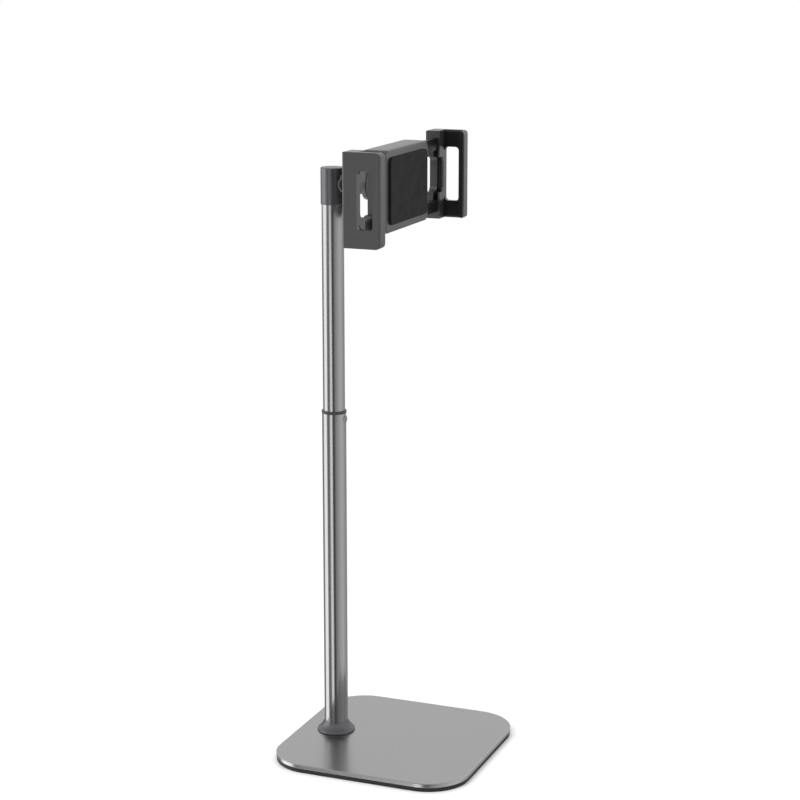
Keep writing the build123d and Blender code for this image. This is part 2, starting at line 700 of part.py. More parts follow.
for side, turn, layer_x in (("near", -1, near_layer), ("far", 1, far_layer)):

    with BuildPart() as jaw:
        # the outline is drawn for the far side, and mirrored for the near one
        with BuildSketch(Plane.XY.offset(head_z - jaw_high / 2)) as jaw_outline:
            with BuildLine():
                Polyline(
                    (jaw_rear_x, flange_in),
                    (jaw_rear_x, jaw_out),
                    (jaw_front_x, jaw_out),
                    (jaw_front_x, lip_in),
                    (jaw_front_x - lip_face, lip_in),
                    (jaw_front_x - lip_face, lip_in + lip_tip_pad),
                    (lip_back, lip_in + lip_tip_pad),
                    (lip_back, wall_in),
                    (flange_x, wall_in),
                    (flange_x, flange_in),
                    close=True,
                )
            make_face()
            for corner, radius in ((0, jaw_rear_round), (-1, jaw_front_round)):
                outer_side = jaw_outline.vertices().group_by(Axis.Y)[-1]
                fillet(outer_side.sort_by(Axis.X)[corner], radius=radius)
            front_side = jaw_outline.vertices().group_by(Axis.X)[-1]
            fillet(front_side.sort_by(Axis.Y)[0], radius=jaw_tip_round)
            if turn < 0:
                mirror(about=Plane.XZ, mode=Mode.REPLACE)
        extrude(amount=jaw_high)
        with BuildSketch(Plane.XZ):
            with BuildLine():
                FilletPolyline(
                    (jaw_rear_x, head_z - jaw_high / 2),
                    (jaw_rear_x, head_z + jaw_high / 2),
                    (jaw_front_x, head_z + jaw_high / 2),
                    (jaw_front_x, head_z - jaw_high / 2),
                    radius=(jaw_rear_corner, jaw_rear_corner, jaw_front_corner, jaw_front_corner),
                    close=True,
                )
            make_face()
        extrude(amount=-turn * 2 * jaw_out, mode=Mode.INTERSECT)
        # slot through the side wall
        with BuildSketch(Plane.XZ.offset(-turn * jaw_out)):
            with Locations((flange_x + slot_wide / 2, head_z)):
                RectangleRounded(slot_wide, slot_high, slot_corner)
        extrude(amount=turn * jaw_wall, mode=Mode.SUBTRACT)
        # window behind the clamped edge, open towards the housing
        window_len = arm_bridge_in - window_skin - flange_in
        with BuildSketch(turn_plane.offset(jaw_rear_x)):
            with Locations((turn * flange_in, 0)):
                RectangleRounded(2 * window_len, window_high, window_corner)
        extrude(amount=flange_deep, mode=Mode.SUBTRACT)
        # seat of the arm
        with BuildSketch(turn_plane.offset(layer_x - seat_gap)):
            with Locations((turn * (flange_in + arm_out) / 2, 0)):
                Rectangle(arm_out - flange_in + 2 * seat_gap, 2 * (prong_out + seat_gap))
        extrude(amount=arm_thick + 2 * seat_gap, mode=Mode.SUBTRACT)
        # screw holes from behind
        with BuildSketch(turn_plane.offset(jaw_rear_x)):
            with Locations((turn * jaw_screw_y, jaw_screw_z), (turn * jaw_screw_y, -jaw_screw_z)):
                Circle(jaw_screw_r + seat_gap)
        extrude(amount=jaw_screw_len, mode=Mode.SUBTRACT)
        with BuildSketch(turn_plane.offset(jaw_rear_x)):
            with Locations((turn * jaw_screw_y, jaw_screw_z), (turn * jaw_screw_y, -jaw_screw_z)):
                Circle(jaw_screw_head_r + slide_gap)
        extrude(amount=jaw_screw_head_high, mode=Mode.SUBTRACT)
    jaw.part.label = f"{side}_jaw"
    export_step(jaw.part, f"parts/{side}_jaw.step")

    # the lining goes round the tip of the lip
    with BuildPart() as jaw_pad:
        with BuildSketch(Plane.XY.offset(head_z - jaw_high / 2 + jaw_pad_margin)):
            with BuildLine():
                Polyline(
                    (flange_x, turn * jaw_in),
                    (flange_x, turn * wall_in),
                    (lip_back, turn * wall_in),
                    (lip_back, turn * (lip_in + lip_tip_pad)),
                    (jaw_front_x - lip_face, turn * (lip_in + lip_tip_pad)),
                    (jaw_front_x - lip_face, turn * lip_in),
                    (lip_back - lip_pad_thick, turn * lip_in),
                    (lip_back - lip_pad_thick, turn * jaw_in),
                    close=True,
                )
            make_face()
        extrude(amount=jaw_high - 2 * jaw_pad_margin)
        with BuildSketch(Plane.XZ.offset(-turn * wall_in)):
            with Locations((flange_x + slot_wide / 2, head_z)):
                RectangleRounded(slot_wide, slot_high, slot_corner)
        extrude(amount=turn * jaw_pad_thick, mode=Mode.SUBTRACT)
    jaw_pad.part.label = f"{side}_jaw_pad"
    export_step(jaw_pad.part, f"parts/{side}_jaw_pad.step")

    # the arm is drawn as the near one, with its rack up, and turned half round for the far side
    arm_plane = Plane(origin=(layer_x, 0, head_z), x_dir=(0, -turn, 0), z_dir=(1, 0, 0))
    with BuildPart() as jaw_arm:
        with BuildSketch(arm_plane):
            prong_mid = (prong_in + prong_out) / 2
            with Locations(((rack_in - arm_out) / 2, prong_mid)):
                Rectangle(rack_in + arm_out, prong_high)
            with Locations(((tab_y + tab_thick - arm_out) / 2, -prong_mid)):
                Rectangle(tab_y + tab_thick + arm_out, prong_high)
            with Locations((arm_bridge / 2 - arm_out, 0)):
                Rectangle(arm_bridge, 2 * prong_out)
            with Locations(((rack_in - rack_out) / 2, (rack_root + prong_mid) / 2)):
                Rectangle(rack_in + rack_out, prong_mid - rack_root)
            with Locations((tab_y + tab_thick / 2, -(tab_in + prong_mid) / 2)):
                Rectangle(tab_thick, prong_mid - tab_in)
            first_tooth = math.ceil((tooth_half * 2 - rack_out) / tooth_pitch)
            last_tooth = math.floor((rack_in - tooth_half * 2) / tooth_pitch)
            for tooth_number in range(first_tooth, last_tooth + 1):
                centre = tooth_number * tooth_pitch
                tip_half = tooth_half - addendum * gear_module * flank_slope
                root_half = tooth_half + dedendum * gear_module * flank_slope
                Polygon(
                    (centre - root_half, rack_root),
                    (centre + root_half, rack_root),
                    (centre + tip_half, rack_tip),
                    (centre - tip_half, rack_tip),
                    align=None,
                )
            with Locations((-jaw_screw_y, jaw_screw_z), (-jaw_screw_y, -jaw_screw_z)):
                Circle(jaw_screw_r + seat_gap, mode=Mode.SUBTRACT)
        extrude(amount=arm_thick)
    jaw_arm.part.label = f"{side}_arm"
    export_step(jaw_arm.part, f"parts/{side}_arm.step")

    with BuildPart() as jaw_screws:
        with BuildSketch(turn_plane.offset(jaw_rear_x)):
            with Locations((turn * jaw_screw_y, jaw_screw_z), (turn * jaw_screw_y, -jaw_screw_z)):
                Circle(jaw_screw_head_r)
        extrude(amount=jaw_screw_head_high)
        with BuildSketch(turn_plane.offset(jaw_rear_x)):
            with Locations((turn * jaw_screw_y, jaw_screw_z), (turn * jaw_screw_y, -jaw_screw_z)):
                Circle(jaw_screw_r)
        extrude(amount=jaw_screw_len - slide_gap)
    jaw_screws.part.label = f"{side}_jaw_screws"
    export_step(jaw_screws.part, f"parts/{side}_jaw_screws.step")

    spring_plane = Plane(
        origin=(layer_x + arm_thick / 2, turn * (pocket_half - spring_end_gap), head_z + turn * spring_off),
        x_dir=(1, 0, 0),
        z_dir=(0, -turn, 0),
    )
    with BuildPart() as arm_spring:
        with BuildSketch(spring_plane):
            Circle(spring_r)
            Circle(spring_bore_r, mode=Mode.SUBTRACT)
        extrude(amount=pocket_half + tab_y - 2 * spring_end_gap)
    arm_spring.part.label = f"{side}_spring"
    export_step(arm_spring.part, f"parts/{side}_spring.step")
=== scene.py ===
import json
import math

import bmesh
import bpy
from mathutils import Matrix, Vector

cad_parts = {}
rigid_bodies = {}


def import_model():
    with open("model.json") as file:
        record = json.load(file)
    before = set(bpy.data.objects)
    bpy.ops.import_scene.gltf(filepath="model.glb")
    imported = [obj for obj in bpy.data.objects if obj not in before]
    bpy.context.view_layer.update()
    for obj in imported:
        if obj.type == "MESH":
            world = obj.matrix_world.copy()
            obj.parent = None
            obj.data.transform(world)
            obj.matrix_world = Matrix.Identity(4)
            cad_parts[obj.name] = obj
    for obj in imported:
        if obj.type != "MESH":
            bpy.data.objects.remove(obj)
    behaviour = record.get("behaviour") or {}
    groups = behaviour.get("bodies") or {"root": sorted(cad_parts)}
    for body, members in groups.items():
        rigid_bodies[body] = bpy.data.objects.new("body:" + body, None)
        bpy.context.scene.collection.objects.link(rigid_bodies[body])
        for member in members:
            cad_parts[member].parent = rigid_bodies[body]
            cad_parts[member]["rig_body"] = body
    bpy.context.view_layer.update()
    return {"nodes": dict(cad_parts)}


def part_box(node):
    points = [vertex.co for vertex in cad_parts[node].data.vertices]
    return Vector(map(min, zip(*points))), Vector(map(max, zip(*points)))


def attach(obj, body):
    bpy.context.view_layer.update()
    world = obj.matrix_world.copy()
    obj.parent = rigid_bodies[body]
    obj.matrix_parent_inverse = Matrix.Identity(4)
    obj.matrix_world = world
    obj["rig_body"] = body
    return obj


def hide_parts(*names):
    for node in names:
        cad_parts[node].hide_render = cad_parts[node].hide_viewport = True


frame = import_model()
mm = 0.001
xAxis, yAxis, zAxis = 0, 1, 2
print("frame loaded,", len(frame["nodes"]), "nodes")


# Small helpers. Shapes are drawn in millimetres and made metres at the end.

meshing = {
    "near": 0.001,  # points closer than this are one point
    "flatAngle": 0.5,  # faces that turn by less, in degrees, become one
    "shortEdge": 0.06,  # shorter edges would hold a bevel back, so they are closed up before it
    "collapsed": 0.0005,  # and what a held-back bevel leaves is closed up after it
    "softAngle": 35.0,  # edges sharper than this are softened
    "smoothAngle": 32.0,  # and edges sharper than this are shaded sharp
    "softSegments": 2, "edgeSegments": 4, "roundSegments": 8, "cornerSegments": 10,
    "tubeSteps": 160, "discSteps": 128, "earSteps": 96, "rodSteps": 64, "holeSteps": 48, "hexSteps": 6}
past = 1.0  # how far a cutter passes the face that it opens


def toLinear(code):
    values = [int(code[i:i + 2], 16) / 255 for i in (1, 3, 5)]
    return [v / 12.92 if v <= 0.04045 else ((v + 0.055) / 1.055) ** 2.4 for v in values] + [1.0]


def addNode(tree, kind, settings=None, inputs=None):
    made = tree.nodes.new(kind)
    for name, value in (settings or {}).items():
        setattr(made, name, value)
    for name, value in (inputs or {}).items():
        if isinstance(value, bpy.types.NodeSocket):
            tree.links.new(value, made.inputs[name])
        else:
            made.inputs[name].default_value = value
    return made


def newMaterial(name):
    material = bpy.data.materials.new(name)
    material.use_nodes = True
    material.node_tree.nodes.clear()
    return material, material.node_tree


def corners(node):
    low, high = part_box(node)
    return Vector(low) / mm, Vector(high) / mm


def roundVerts(bm, verts, radius, segments):
    bmesh.ops.bevel(bm, geom=verts, offset=radius, offset_type="OFFSET", affect="VERTICES",
                    segments=segments, profile=0.5, material=-1)


def edgesAt(bm, axis, level):
    # the edges that lie in one plane, square to the axis
    return [edge for edge in bm.edges
            if all(abs(vert.co[axis] - level) < meshing["near"] for vert in edge.verts)]


def bevelEdges(bm, edges, width, segments, held=False):
    bmesh.ops.bevel(bm, geom=edges, offset=width, offset_type="OFFSET", affect="EDGES", segments=segments,
                    profile=0.5, material=-1, clamp_overlap=held, loop_slide=held)


def prism(points, depth, rounded=(), segments=meshing["roundSegments"]):
    bm = bmesh.new()
    verts = [bm.verts.new(point) for point in points]
    bm.faces.new(verts)
    for index, radius in rounded:
        roundVerts(bm, [verts[index]], radius, segments)
    made = bmesh.ops.extrude_face_region(bm, geom=bm.faces[:])
    moved = [part for part in made["geom"] if isinstance(part, bmesh.types.BMVert)]
    bmesh.ops.translate(bm, vec=depth, verts=moved)
    bmesh.ops.recalc_face_normals(bm, faces=bm.faces[:])
    return bm


def block(corner, opposite, axis, radius=0.0, segments=meshing["roundSegments"]):
    # a box between two corners, whose four edges along the axis may be rounded
    pairs = [sorted(pair) for pair in zip(corner, opposite)]
    low = Vector([pair[0] for pair in pairs])
    high = Vector([pair[1] for pair in pairs])
    first, second = [i for i in range(3) if i != axis]
    points = []
    for u, v in ((0, 0), (1, 0), (1, 1), (0, 1)):
        point = Vector(low)
        point[first] = (low, high)[u][first]
        point[second] = (low, high)[v][second]
        points.append(point)
    depth = Vector((0, 0, 0))
    depth[axis] = high[axis] - low[axis]
    return prism(points, depth, [(i, radius) for i in range(4)] if radius else (), segments)


def lathe(profile, centre, axis, rounded=(), closed=True, steps=meshing["discSteps"],
          segments=meshing["edgeSegments"]):
    # the profile's points are (radius, place along the axis)
    radial = Vector((0, 0, 1)) if axis != zAxis else Vector((1, 0, 0))
    spinAxis = Vector([float(i == axis) for i in range(3)])
    bm = bmesh.new()
    verts = []
    for radius, height in profile:
        point = Vector(centre) + radial * radius
        point[axis] = height
        verts.append(bm.verts.new(point))
    pairs = list(zip(verts, verts[1:]))
    if closed:
        pairs.append((verts[-1], verts[0]))
    for pair in pairs:
        bm.edges.new(pair)
    for index, radius in rounded:
        roundVerts(bm, [verts[index]], radius, segments)
    bmesh.ops.spin(bm, geom=bm.verts[:] + bm.edges[:], cent=centre, axis=spinAxis, dvec=(0, 0, 0),
                   angle=2 * math.pi, steps=steps, use_merge=True, use_duplicate=False)
    bmesh.ops.remove_doubles(bm, verts=bm.verts[:], dist=meshing["near"])
    bmesh.ops.recalc_face_normals(bm, faces=bm.faces[:])
    return bm


def rod(centre, axis, radius, start, end, steps=meshing["rodSteps"]):
    profile = [(0, start), (radius, start), (radius, end), (0, end)]
    return lathe(profile, centre, axis, closed=False, steps=steps)


def hexRod(centre, axis, flats, start, end):
    # a rod of six steps is a hexagon, and its corners lie further out than its flats
    return rod(centre, axis, flats / math.sqrt(3), start, end, meshing["hexSteps"])


def toObject(bm, name):
    mesh = bpy.data.meshes.new(name)
    bm.to_mesh(mesh)
    bm.free()
    made = bpy.data.objects.new(name, mesh)
    bpy.context.scene.collection.objects.link(made)
    return made


def carve(bm, tools, operation="DIFFERENCE"):
    holder = toObject(bm, "holder")
    cutters = [toObject(tool, "cutter") for tool in tools]
    for cutter in cutters:
        step = holder.modifiers.new("carve", "BOOLEAN")
        step.object = cutter
        step.operation = operation
        step.solver = "EXACT"
    bpy.context.view_layer.update()
    shaped = bpy.data.meshes.new_from_object(holder.evaluated_get(bpy.context.evaluated_depsgraph_get()))
    result = bmesh.new()
    result.from_mesh(shaped)
    for made in [holder] + cutters:
        bpy.data.objects.remove(made)
    bpy.data.meshes.remove(shaped)
    bmesh.ops.remove_doubles(result, verts=result.verts[:], dist=meshing["near"])
    return result


def soften(bm, width):
    bmesh.ops.dissolve_limit(bm, angle_limit=math.radians(meshing["flatAngle"]), verts=bm.verts[:],
                             edges=bm.edges[:])
    bmesh.ops.remove_doubles(bm, verts=bm.verts[:], dist=meshing["shortEdge"])
    limit = math.radians(meshing["softAngle"])
    edges = [e for e in bm.edges if len(e.link_faces) == 2 and e.calc_face_angle() > limit]
    bevelEdges(bm, edges, width, meshing["softSegments"], held=True)
    bmesh.ops.remove_doubles(bm, verts=bm.verts[:], dist=meshing["collapsed"])
    return bm


def joinParts(parts):
    joined = bmesh.new()
    for part in parts:
        mesh = bpy.data.meshes.new("part")
        part.to_mesh(mesh)
        joined.from_mesh(mesh)
        part.free()
        bpy.data.meshes.remove(mesh)
    return joined


def makePiece(name, bm, nodes, materials):
    bmesh.ops.scale(bm, vec=(mm, mm, mm), verts=bm.verts[:])
    piece = toObject(bm, name)
    for material in materials:
        piece.data.materials.append(material)
    piece.data.shade_smooth()
    piece.data.set_sharp_from_angle(angle=math.radians(meshing["smoothAngle"]))
    flatter = piece.modifiers.new("flatter", "WEIGHTED_NORMAL")
    flatter.keep_sharp = True
    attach(piece, frame["nodes"][nodes[0]]["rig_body"])
    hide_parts(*nodes)


# Materials, one family for metals and painted plastic, one for bare plastic and rubber. Sizes are in
# millimetres. Real blasting, drawing, plating and paint have a grain under about 0.1 mm, which is too fine
# to show here, so it is drawn several times as coarse.

surface = {"grainDetail": 3.0, "grainRoughness": 0.6, "cloudDetail": 2.0, "cellSmoothness": 0.6,
           "bothFrom": (0.6, 1.4), "cloudFrom": (0.3, 0.7)}


def grainedMetal(look):
    material, tree = newMaterial(look["name"])
    place = addNode(tree, "ShaderNodeTexCoord")
    scale = [1 / (size * mm) for size in look["grain"]]
    fine = addNode(tree, "ShaderNodeMapping", inputs={"Vector": place.outputs["Object"], "Scale": scale})
    grain = addNode(tree, "ShaderNodeTexNoise", {"noise_dimensions": "3D"}, {
        "Vector": fine.outputs["Vector"], "Scale": 1.0, "Detail": surface["grainDetail"],
        "Roughness": surface["grainRoughness"]})
    cloud = addNode(tree, "ShaderNodeTexNoise", {"noise_dimensions": "3D"}, {
        "Vector": place.outputs["Object"], "Scale": 1 / (look["cloud"] * mm),
        "Detail": surface["cloudDetail"]})
    tone = addNode(tree, "ShaderNodeMix", {"data_type": "RGBA"}, {
        "Factor": grain.outputs["Fac"], "A": toLinear(look["dark"]), "B": toLinear(look["light"])})
    both = addNode(tree, "ShaderNodeMath", {"operation": "ADD"}, {
        0: grain.outputs["Fac"], 1: cloud.outputs["Fac"]})
    rough = addNode(tree, "ShaderNodeMapRange", inputs={
        "Value": both.outputs["Value"],
        "From Min": surface["bothFrom"][0], "From Max": surface["bothFrom"][1],
        "To Min": look["roughness"][0], "To Max": look["roughness"][1]})
    bump = addNode(tree, "ShaderNodeBump", inputs={
        "Height": grain.outputs["Fac"], "Strength": 1.0, "Distance": look["depth"] * mm})
    shader = addNode(tree, "ShaderNodeBsdfPrincipled", inputs={
        "Base Color": tone.outputs["Result"], "Metallic": look["metallic"],
        "Roughness": rough.outputs["Result"], "Normal": bump.outputs["Normal"]})
    addNode(tree, "ShaderNodeOutputMaterial", inputs={"Surface": shader.outputs["BSDF"]})
    return material


def mouldedPlastic(look):
    material, tree = newMaterial(look["name"])
    place = addNode(tree, "ShaderNodeTexCoord")
    cells = addNode(tree, "ShaderNodeTexVoronoi", {"feature": "SMOOTH_F1"}, {
        "Vector": place.outputs["Object"], "Scale": 1 / (look["grain"] * mm),
        "Smoothness": surface["cellSmoothness"]})
    cloud = addNode(tree, "ShaderNodeTexNoise", {"noise_dimensions": "3D"}, {
        "Vector": place.outputs["Object"], "Scale": 1 / (look["cloud"] * mm),
        "Detail": surface["cloudDetail"]})
    tone = addNode(tree, "ShaderNodeMix", {"data_type": "RGBA"}, {
        "Factor": cloud.outputs["Fac"], "A": toLinear(look["dark"]), "B": toLinear(look["light"])})
    rough = addNode(tree, "ShaderNodeMapRange", inputs={
        "Value": cloud.outputs["Fac"],
        "From Min": surface["cloudFrom"][0], "From Max": surface["cloudFrom"][1],
        "To Min": look["roughness"][0], "To Max": look["roughness"][1]})
    bump = addNode(tree, "ShaderNodeBump", inputs={
        "Height": cells.outputs["Distance"], "Strength": 1.0, "Distance": look["depth"] * mm})
    shader = addNode(tree, "ShaderNodeBsdfPrincipled", inputs={
        "Base Color": tone.outputs["Result"], "Roughness": rough.outputs["Result"], "IOR": look["ior"],
        "Normal": bump.outputs["Normal"]})
    addNode(tree, "ShaderNodeOutputMaterial", inputs={"Surface": shader.outputs["BSDF"]})
    return material


# satin-blasted steel plate: soft, even sheen with a fine sparkle
plateSteel = grainedMetal({
    "name": "satinBlastedSteel", "dark": "#9a9a9b", "light": "#a6a6a7", "metallic": 1.0,
    "roughness": (0.23, 0.28), "grain": (0.5, 0.5, 0.5), "cloud": 60.0, "depth": 0.004})
# the same steel where its edge is cut and polished: brighter, and a little clearer
bevelSteel = grainedMetal({
    "name": "polishedSteelEdge", "dark": "#b0b0b1", "light": "#bababb", "metallic": 1.0,
    "roughness": (0.20, 0.26), "grain": (2.0, 2.0, 0.3), "cloud": 40.0, "depth": 0.001})
# drawn steel tube: clear reflections, drawn out along the tube in fine lines
tubeSteel = grainedMetal({
    "name": "drawnSteelTube", "dark": "#a5a5a7", "light": "#b0b0b1", "metallic": 1.0,
    "roughness": (0.15, 0.20), "grain": (0.6, 0.6, 160.0), "cloud": 90.0, "depth": 0.0015})
# die-cast fittings under a dark metallic lacquer: blurred, darker reflections
castLacquer = grainedMetal({
    "name": "darkLacqueredCasting", "dark": "#67676a", "light": "#6f6f71", "metallic": 0.95,
    "roughness": (0.33, 0.38), "grain": (0.6, 0.6, 0.6), "cloud": 30.0, "depth": 0.004})
# bright zinc plate on bolts, nuts and washers: silvery and slightly cloudy
zincSteel = grainedMetal({
    "name": "zincPlatedSteel", "dark": "#b9babc", "light": "#c6c6c8", "metallic": 1.0,
    "roughness": (0.24, 0.34), "grain": (1.2, 1.2, 1.2), "cloud": 4.0, "depth": 0.003})
# turned aluminium, bare: pale, with the tool's rings across it
turnedAlloy = grainedMetal({
    "name": "turnedAluminium", "dark": "#c4c4c6", "light": "#d0d0d1", "metallic": 1.0,
    "roughness": (0.26, 0.36), "grain": (6.0, 6.0, 0.2), "cloud": 12.0, "depth": 0.004})
# oiled black oxide on steel screws: near black, with a low gleam
blackOxide = grainedMetal({
    "name": "blackOxideSteel", "dark": "#2a2a2b", "light": "#333334", "metallic": 0.8,
    "roughness": (0.34, 0.44), "grain": (0.4, 0.4, 0.4), "cloud": 5.0, "depth": 0.004})
# hard drawn spring wire: bright, with fine lines along it
springWire = grainedMetal({
    "name": "hardDrawnSpringWire", "dark": "#a9a9aa", "light": "#b8b8b9", "metallic": 1.0,
    "roughness": (0.22, 0.30), "grain": (0.3, 6.0, 0.3), "cloud": 6.0, "depth": 0.002})
# stamped aluminium plate, black anodised: dark, with rolling lines along the arm
anodisedPlate = grainedMetal({
    "name": "blackAnodisedAluminium", "dark": "#323233", "light": "#3a3a3b", "metallic": 0.9,
    "roughness": (0.34, 0.42), "grain": (0.4, 3.0, 0.4), "cloud": 14.0, "depth": 0.004})
# moulded ABS under a gunmetal paint: fine metal flakes give a soft, broad sheen
jawPlastic = grainedMetal({
    "name": "gunmetalPaintedAbs", "dark": "#575758", "light": "#606061", "metallic": 0.75,
    "roughness": (0.31, 0.37), "grain": (0.35, 0.35, 0.35), "cloud": 25.0, "depth": 0.004})
# acetal, turned: dark and smooth, without the flakes of the painted shells
bushPlastic = mouldedPlastic({
    "name": "blackAcetal", "dark": "#333334", "light": "#3a3a3b", "ior": 1.48,
    "roughness": (0.32, 0.40), "grain": 0.5, "cloud": 10.0, "depth": 0.006})
# unfilled nylon: milky and half matt
naturalNylon = mouldedPlastic({
    "name": "naturalNylon", "dark": "#dcd9d0", "light": "#e4e1d9", "ior": 1.53,
    "roughness": (0.40, 0.50), "grain": 0.5, "cloud": 8.0, "depth": 0.006})
# silicone rubber linings: dead matt black with a very fine tooth
gripRubber = mouldedPlastic({
    "name": "blackSiliconeRubber", "dark": "#080808", "light": "#0c0c0c", "ior": 1.41,
    "roughness": (0.70, 0.80), "grain": 0.4, "cloud": 12.0, "depth": 0.020})
# solid rubber sheet under the base: black, a little greyer where it is cut
padRubber = mouldedPlastic({
    "name": "cutRubberSheet", "dark": "#151515", "light": "#1b1b1b", "ior": 1.52,
    "roughness": (0.60, 0.72), "grain": 0.6, "cloud": 20.0, "depth": 0.020})
print("materials ready")


# Base: steel plate on a rubber pad

basePlate = {"corner": 35.0, "cornerSegments": 28, "bevel": 0.5, "bevelSegments": 1, "bottomEdge": 0.3,
             "topNormal": 0.9}
plateLow, plateHigh = corners("base_plate")
bm = block(plateLow, plateHigh, zAxis, basePlate["corner"], basePlate["cornerSegments"])
bevelEdges(bm, edgesAt(bm, zAxis, plateLow.z), basePlate["bottomEdge"], meshing["softSegments"])
bevelEdges(bm, edgesAt(bm, zAxis, plateHigh.z), basePlate["bevel"], basePlate["bevelSegments"])
bm.normal_update()
for face in bm.faces:  # the bevels and the side are polished, the top and the underside aren't
    isUnderside = face.calc_center_median().z <= plateLow.z + meshing["near"]
    isTop = face.normal.z >= basePlate["topNormal"]
    face.material_index = 0 if isUnderside or isTop else 1
makePiece("basePlate", bm, ["base_plate"], [plateSteel, bevelSteel])

basePad = {"corner": 34.6, "cornerSegments": 28, "recess": 9.0, "edge": 0.4}
padLow, padHigh = corners("base_pad")
tubeLow, tubeHigh = corners("lower_tube")
pole = (tubeLow + tubeHigh) / 2
poleFoot = (pole.x, 0, 0)
bm = block(padLow, padHigh, zAxis, basePad["corner"], basePad["cornerSegments"])
bm = carve(bm, [rod(poleFoot, zAxis, basePad["recess"], padLow.z - past, padHigh.z + past)])
makePiece("basePad", soften(bm, basePad["edge"]), ["base_pad"], [padRubber])
print("base ready")


# Pole: two tubes, the flange at its foot, the bush's ring and its rivet

def makeTube(name, node, look):
    low, high = corners(node)
    radius = (high.x - low.x) / 2
    inside = radius - look["wall"]
    profile = [(radius, low.z), (radius, high.z), (inside, high.z), (inside, low.z)]
    rounded = [(i, look["edge"]) for i in range(len(profile))]
    bm = lathe(profile, poleFoot, zAxis, rounded, steps=meshing["tubeSteps"])
    makePiece(name, bm, [node], [tubeSteel])
    return radius


lowerTube = {"wall": 0.5, "edge": 0.15}
lowerRadius = makeTube("lowerTube", "lower_tube", lowerTube)
upperTube = {"wall": 0.6, "edge": 0.15}
upperRadius = makeTube("upperTube", "upper_tube", upperTube)

footFlange = {"rimHigh": 1.2, "waist": 11.4, "waistHigh": 5.2, "gap": 0.02, "lip": 0.3, "rimRound": 0.75,
              "waistRound": 3.0, "footRound": 0.4}
flangeLow, flangeHigh = corners("foot_flange")
rim = (flangeHigh.x - flangeLow.x) / 2
flangeBore = lowerRadius + footFlange["gap"]
profile = [(lowerRadius + footFlange["lip"], flangeHigh.z), (flangeBore, flangeHigh.z),
           (flangeBore, flangeLow.z), (rim, flangeLow.z), (rim, flangeLow.z + footFlange["rimHigh"]),
           (footFlange["waist"], flangeLow.z + footFlange["waistHigh"])]
rounded = [(3, footFlange["footRound"]), (4, footFlange["rimRound"]), (5, footFlange["waistRound"])]
bm = lathe(profile, poleFoot, zAxis, rounded, steps=meshing["tubeSteps"], segments=meshing["roundSegments"])
makePiece("footFlange", bm, ["foot_flange"], [castLacquer])

collarBush = {"wall": 0.52, "rimHigh": 2.3, "gap": 0.05, "edge": 0.5}
bushLow, bushHigh = corners("collar_bush")
bushRim = (bushHigh.x - bushLow.x) / 2
bore = upperRadius + collarBush["gap"]
outer = lowerRadius - collarBush["wall"]
shoulder = bushHigh.z - collarBush["rimHigh"]
profile = [(bore, bushLow.z), (outer, bushLow.z), (outer, shoulder),
           (bushRim, shoulder), (bushRim, bushHigh.z), (bore, bushHigh.z)]
rounded = [(3, collarBush["edge"]), (4, collarBush["edge"])]
bm = lathe(profile, poleFoot, zAxis, rounded, steps=meshing["tubeSteps"])
makePiece("collarBush", bm, ["collar_bush"], [bushPlastic])

collarRivet = {"head": 3.1, "shank": 1.5, "sunk": 0.6, "edge": 0.4}
rivetLow, rivetHigh = corners("collar_rivet")
seatX = pole.x + lowerRadius - collarRivet["sunk"]
profile = [(0, rivetLow.x), (collarRivet["shank"], rivetLow.x), (collarRivet["shank"], seatX),
           (collarRivet["head"], seatX), (collarRivet["head"], rivetHigh.x), (0, rivetHigh.x)]
bm = lathe(profile, (0, 0, (rivetLow.z + rivetHigh.z) / 2), xAxis, [(4, collarRivet["edge"])], closed=False,
           steps=meshing["rodSteps"])
makePiece("collarRivet", bm, ["collar_rivet"], [plateSteel])
print("pole ready")


# Head: cap with the tongue, the fork with its disc, the tilt axis

headCap = {"gap": 0.02, "topEdge": 0.7, "lowEdge": 0.3, "tongueHalf": 4.5, "tongueRoot": 2.0,
           "hingeDrop": 12.4, "ear": 6.6, "soft": 0.35}
capLow, capHigh = corners("head_cap")
capRadius = (capHigh.y - capLow.y) / 2
capBore = upperRadius + headCap["gap"]
upperTop = corners("upper_tube")[1].z
hingeX = capHigh.x - headCap["ear"]
headZ = capHigh.z - headCap["hingeDrop"]
hinge = (hingeX, 0, headZ)
profile = [(0, capHigh.z), (capRadius, capHigh.z), (capRadius, capLow.z), (capBore, capLow.z),
           (capBore, upperTop), (0, upperTop)]
body = lathe(profile, poleFoot, zAxis, [(1, headCap["topEdge"]), (2, headCap["lowEdge"])], closed=False,
             steps=meshing["tubeSteps"])


def ear(inner, outer, tail):
    # a slab with a round end about the tilt axis and a square tail
    radius = headCap["ear"]
    slab = block((tail, inner, headZ - radius), (hingeX, outer, headZ + radius), yAxis)
    return carve(slab, [rod(hinge, yAxis, radius, inner, outer, meshing["earSteps"])], "UNION")


tongue = ear(-headCap["tongueHalf"], headCap["tongueHalf"], pole.x + capRadius - headCap["tongueRoot"])
bm = carve(body, [soften(tongue, headCap["soft"])], "UNION")
makePiece("headCap", bm, ["head_cap"], [castLacquer])

